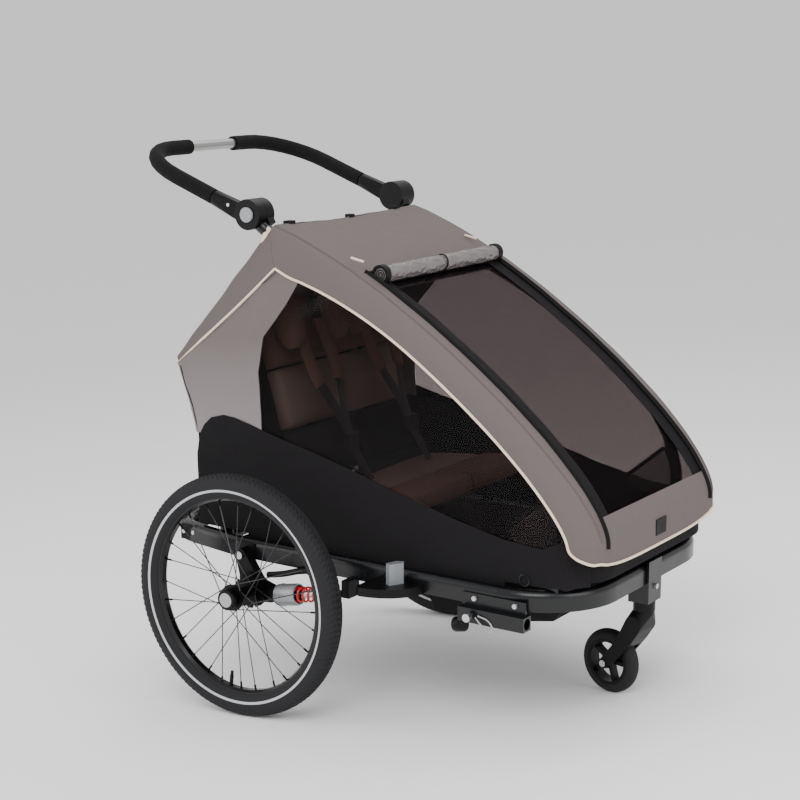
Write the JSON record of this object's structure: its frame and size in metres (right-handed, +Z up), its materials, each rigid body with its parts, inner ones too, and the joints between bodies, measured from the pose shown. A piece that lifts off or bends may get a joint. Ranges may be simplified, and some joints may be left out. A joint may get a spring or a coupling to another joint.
{
  "type": "child bicycle trailer",
  "caption": "Two-seat child trailer with sprung spoked wheels, a swivel caster, a folding cloth canopy on a tube frame and a tilting push bar.",
  "frame": {"origin": "on the ground, below the middle of the trailer", "axes": "+X forwards to the foot end and caster, +Y to the left, +Z up"},
  "size_m": [1.0672, 0.864, 1.1616],
  "materials": {
    "frame_black": "satin black powder coat on aluminium tube",
    "black_cloth": "coated black polyester weave",
    "grey_canopy": "coated taupe-grey polyester weave",
    "mesh": "fine dark fly mesh",
    "window_film": "dark tinted flexible film",
    "clear_film": "clear flexible film, rolled up",
    "tyre_rubber": "black rubber",
    "rim_black": "black anodised aluminium",
    "spoke_steel": "drawn stainless wire",
    "moulded_black": "black glass-filled nylon",
    "bolt_black": "blackened steel",
    "spring_red": "red powder-coated spring steel",
    "bright_steel": "zinc-plated steel",
    "bar_aluminium": "satin anodised tube",
    "grip_foam": "closed-cell foam",
    "button_grey": "grey moulded plastic",
    "reflector_clear": "clear prismatic reflector",
    "seat_cloth": "padded brown and black patchwork cloth",
    "webbing_black": "black nylon webbing"
  },
  "bodies": {
    "chassis": {"side_rails": "frame_black", "front_rail": "frame_black", "rear_rail": "frame_black", "cross_tubes": "frame_black", "floor_panel": "black_cloth", "footwell_bag": "black_cloth", "side_skirt_left": "black_cloth", "side_skirt_right": "black_cloth", "rear_skirt": "black_cloth", "front_skirt": "black_cloth", "wheel_guards": "moulded_black", "reflectors": "reflector_clear", "d_rings": "bolt_black", "tow_receiver": "frame_black", "caster_bracket": "frame_black", "frame_bolts": "bolt_black", "suspension_brackets": "frame_black", "seat_cushion": "seat_cloth", "backrests": "seat_cloth", "headrests": "seat_cloth", "harnesses": "webbing_black", "damper_rods": "bolt_black", "spring_left": "spring_red", "spring_right": "spring_red"},
    "tow_pin": {"retaining_pin": "bright_steel"},
    "brake_lever": {"brake_pedal": "frame_black"},
    "canopy_hoop": {"canopy_frame": "frame_black", "canopy": "grey_canopy", "front_mesh": "mesh", "rear_panel": "grey_canopy", "rain_cover_roll": "clear_film", "side_window_left": "window_film", "side_window_right": "window_film", "quarter_panel_left": "grey_canopy", "quarter_panel_right": "grey_canopy", "hinge_bases": "moulded_black"},
    "back_hoop": {"back_frame": "frame_black"},
    "handlebar": {"push_bar": "bar_aluminium", "grips": "grip_foam", "bar_connectors": "moulded_black", "hinge_caps": "moulded_black"},
    "button_right": {"hinge_button_right": "button_grey"},
    "button_left": {"hinge_button_left": "button_grey"},
    "caster_swivel": {"caster_fork": "moulded_black", "caster_axle": "bright_steel"},
    "caster_wheel": {"caster_tyre": "tyre_rubber", "caster_hub": "moulded_black"},
    "suspension_right": {"swing_arm_right": "moulded_black"},
    "wheel_right": {"tyre_right": "tyre_rubber", "rim_right": "rim_black", "spokes_right": "spoke_steel", "hub_right": "moulded_black", "brake_disc_right": "moulded_black"},
    "suspension_left": {"swing_arm_left": "moulded_black"},
    "wheel_left": {"tyre_left": "tyre_rubber", "rim_left": "rim_black", "spokes_left": "spoke_steel", "hub_left": "moulded_black", "brake_disc_left": "moulded_black"}
  },
  "joints": [
    {"name": "frame_fold", "type": "hinge", "parent": "chassis", "child": "canopy_hoop", "pos_m": [0.44444, 0, 0.31643], "axis": [0, -1, 0], "range_deg": [0, 36], "deforming": ["side_skirt_left", "side_skirt_right", "rear_skirt", "front_skirt", "seat_cushion", "backrests", "headrests", "harnesses", "rear_panel", "side_window_left", "side_window_right", "quarter_panel_left", "quarter_panel_right"]},
    {"name": "back_fold", "type": "hinge", "parent": "chassis", "child": "back_hoop", "pos_m": [-0.34773, 0, 0.38335], "axis": [0, 1, 0], "range_deg": [0, 88.2]},
    {"name": "push_bar_tilt", "type": "hinge", "parent": "canopy_hoop", "child": "handlebar", "pos_m": [-0.20378, 0, 1.00645], "axis": [0, 1, 0], "range_deg": [-60, 60]},
    {"name": "right_button_press", "type": "slide", "parent": "handlebar", "child": "button_right", "axis": [0, 1, 0], "range_m": [0, 0.003], "stiffness_N_per_m": 900, "springref_m": -0.001},
    {"name": "left_button_press", "type": "slide", "parent": "handlebar", "child": "button_left", "axis": [0, -1, 0], "range_m": [0, 0.003], "stiffness_N_per_m": 900, "springref_m": -0.001},
    {"name": "tow_pin_pull", "type": "slide", "parent": "chassis", "child": "tow_pin", "axis": [0, -1, 0], "range_m": [0, 0.045]},
    {"name": "brake_press", "type": "hinge", "parent": "chassis", "child": "brake_lever", "pos_m": [-0.45445, 0, 0.30807], "axis": [0, -1, 0], "range_deg": [0, 25], "stiffness_Nm_per_rad": 3, "springref_deg": -6.88},
    {"name": "caster_turn", "type": "hinge", "parent": "chassis", "child": "caster_swivel", "pos_m": [0.49097, 0, 0.19007], "axis": [0.0842, 0, 0.9965], "continuous": true},
    {"name": "caster_spin", "type": "hinge", "parent": "caster_swivel", "child": "caster_wheel", "pos_m": [0.4034, 0.01354, 0.066], "axis": [0.173, 0.9848, -0.0146], "continuous": true},
    {"name": "right_suspension", "type": "hinge", "parent": "chassis", "child": "suspension_right", "pos_m": [-0.24367, -0.333, 0.32037], "axis": [0, -1, 0], "range_deg": [-3, 6.5], "stiffness_Nm_per_rad": 60, "springref_deg": -2.58, "deforming": ["spring_right"]},
    {"name": "right_wheel_spin", "type": "hinge", "parent": "suspension_right", "child": "wheel_right", "pos_m": [-0.2185, -0.39, 0.25], "axis": [0, 1, 0], "continuous": true},
    {"name": "left_suspension", "type": "hinge", "parent": "chassis", "child": "suspension_left", "pos_m": [-0.24367, 0.333, 0.32037], "axis": [0, -1, 0], "range_deg": [-3, 6.5], "stiffness_Nm_per_rad": 60, "springref_deg": -2.58, "deforming": ["spring_left"]},
    {"name": "left_wheel_spin", "type": "hinge", "parent": "suspension_left", "child": "wheel_left", "pos_m": [-0.2185, 0.39, 0.25], "axis": [0, 1, 0], "continuous": true}
  ],
  "couplings": [
    {"joint": "back_fold", "follows": "frame_fold", "ratio": 2.4444}
  ]
}
